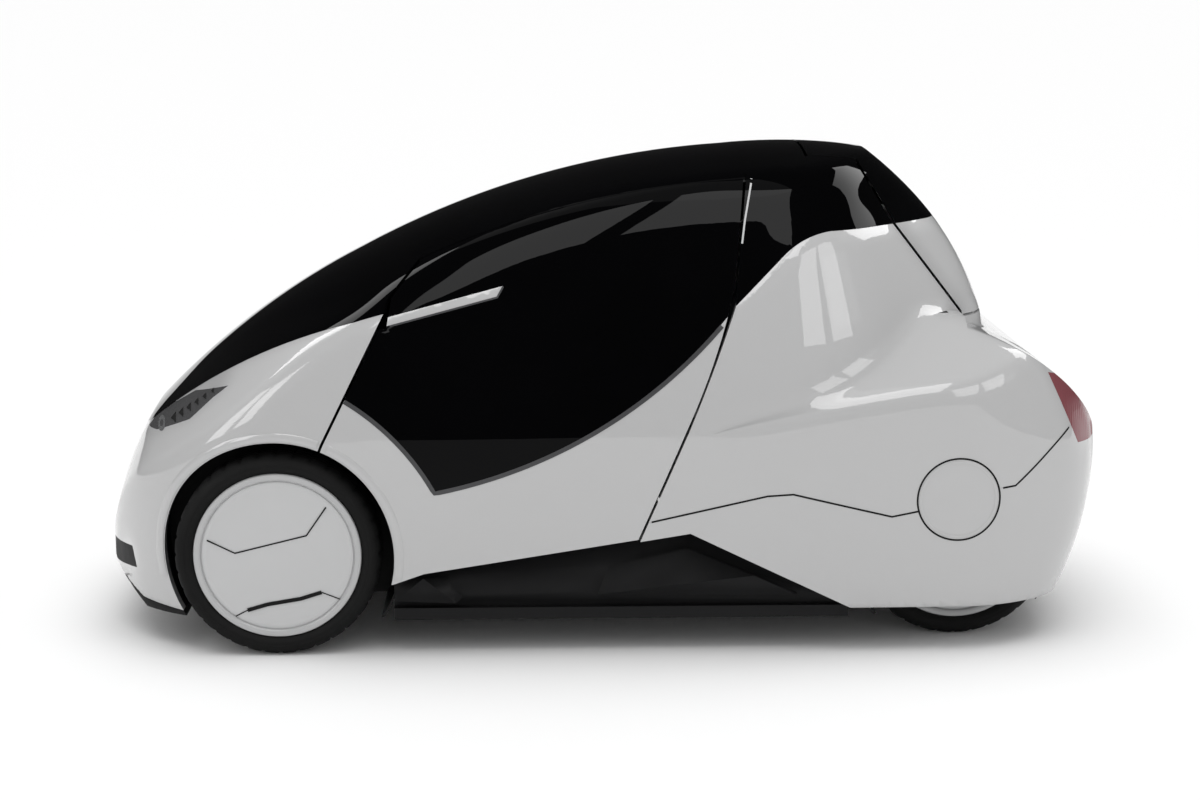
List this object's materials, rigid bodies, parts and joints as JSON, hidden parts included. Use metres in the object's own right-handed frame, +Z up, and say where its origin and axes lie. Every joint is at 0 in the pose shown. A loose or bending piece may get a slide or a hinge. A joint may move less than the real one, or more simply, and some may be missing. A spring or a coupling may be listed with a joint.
{
  "type": "two-seat electric city car",
  "caption": "Teardrop two-seat city car with a hollow cabin, wide-opening side doors, a roof-hinged tailgate, steered front wheels and faired rear wheels.",
  "frame": {"origin": "on the ground, under the middle of the car's bounding box", "axes": "+X forward towards the nose, +Y to the car's left, +Z up"},
  "size_m": [2.8403, 1.2664, 1.3576],
  "materials": {
    "white_paint": "gloss",
    "black_glass": "gloss",
    "black_plastic": "matte",
    "smoked_lens": "gloss",
    "red_lens": "gloss",
    "seat_fabric": "matte",
    "steel": "satin",
    "alloy": "satin",
    "tyre_rubber": "matte",
    "satin_grey": "satin"
  },
  "bodies": {
    "car": {"front_shell": "white_paint", "front_lip": "black_plastic", "headlamps": "smoked_lens", "fog_vents": "black_plastic", "windscreen": "black_glass", "roof_panel": "black_glass", "rear_canopy": "black_glass", "tail_lamps": "red_lens", "rear_quarter_left": "white_paint", "rear_quarter_right": "white_paint", "tail_panel": "white_paint", "rear_skirt_left": "white_paint", "rear_skirt_right": "white_paint", "rear_bumper": "white_paint", "round_covers": "white_paint", "door_posts": "steel", "gate_frame": "steel", "front_axle": "steel", "rear_axle": "steel", "drive_motor": "alloy", "front_liners": "black_plastic", "rear_liners": "black_plastic", "floor_platform": "alloy", "battery": "alloy", "sill_left": "black_plastic", "sill_right": "black_plastic", "front_seat": "seat_fabric", "rear_seat": "seat_fabric", "dashboard": "black_plastic", "steering_yoke": "black_plastic"},
    "door_l": {"door_left": "white_paint", "door_glass_left": "black_glass", "door_blade_left": "white_paint"},
    "door_r": {"door_right": "white_paint", "door_glass_right": "black_glass", "door_blade_right": "white_paint"},
    "gate": {"tailgate": "white_paint", "tailgate_glass": "black_glass"},
    "steer_l": {"knuckle_left": "steel"},
    "steer_r": {"knuckle_right": "steel"},
    "roll_fl": {"tyre_fl": "tyre_rubber", "wheel_fl": "satin_grey"},
    "roll_fr": {"tyre_fr": "tyre_rubber", "wheel_fr": "satin_grey"},
    "roll_rl": {"tyre_rl": "tyre_rubber", "wheel_rl": "satin_grey"},
    "roll_rr": {"tyre_rr": "tyre_rubber", "wheel_rr": "satin_grey"}
  },
  "joints": [
    {"name": "door_left_hinge", "type": "hinge", "parent": "car", "child": "door_l", "pos_m": [0.71137, 0.6037, 0.64014], "axis": [0.441, 0.1513, -0.8846], "range_deg": [0, 60]},
    {"name": "door_right_hinge", "type": "hinge", "parent": "car", "child": "door_r", "pos_m": [0.71137, -0.6037, 0.64014], "axis": [-0.441, 0.1513, 0.8846], "range_deg": [0, 60]},
    {"name": "tailgate_hinge", "type": "hinge", "parent": "car", "child": "gate", "pos_m": [-0.6675, 0, 1.333], "axis": [0, 1, 0], "range_deg": [0, 75]},
    {"name": "steer_left", "type": "hinge", "parent": "car", "child": "steer_l", "pos_m": [0.904, 0.53, 0.282], "axis": [0, 0, 1], "range_deg": [-30, 30]},
    {"name": "steer_right", "type": "hinge", "parent": "car", "child": "steer_r", "pos_m": [0.904, -0.53, 0.282], "axis": [0, 0, 1], "range_deg": [-30, 30]},
    {"name": "wheel_fl_spin", "type": "hinge", "parent": "steer_l", "child": "roll_fl", "pos_m": [0.904, 0.53, 0.282], "axis": [0, 1, 0], "continuous": true},
    {"name": "wheel_fr_spin", "type": "hinge", "parent": "steer_r", "child": "roll_fr", "pos_m": [0.904, -0.53, 0.282], "axis": [0, 1, 0], "continuous": true},
    {"name": "wheel_rl_spin", "type": "hinge", "parent": "car", "child": "roll_rl", "pos_m": [-0.981, 0.39, 0.282], "axis": [0, 1, 0], "continuous": true},
    {"name": "wheel_rr_spin", "type": "hinge", "parent": "car", "child": "roll_rr", "pos_m": [-0.981, -0.39, 0.282], "axis": [0, 1, 0], "continuous": true}
  ],
  "couplings": [
    {"joint": "steer_right", "follows": "steer_left", "ratio": 1}
  ]
}
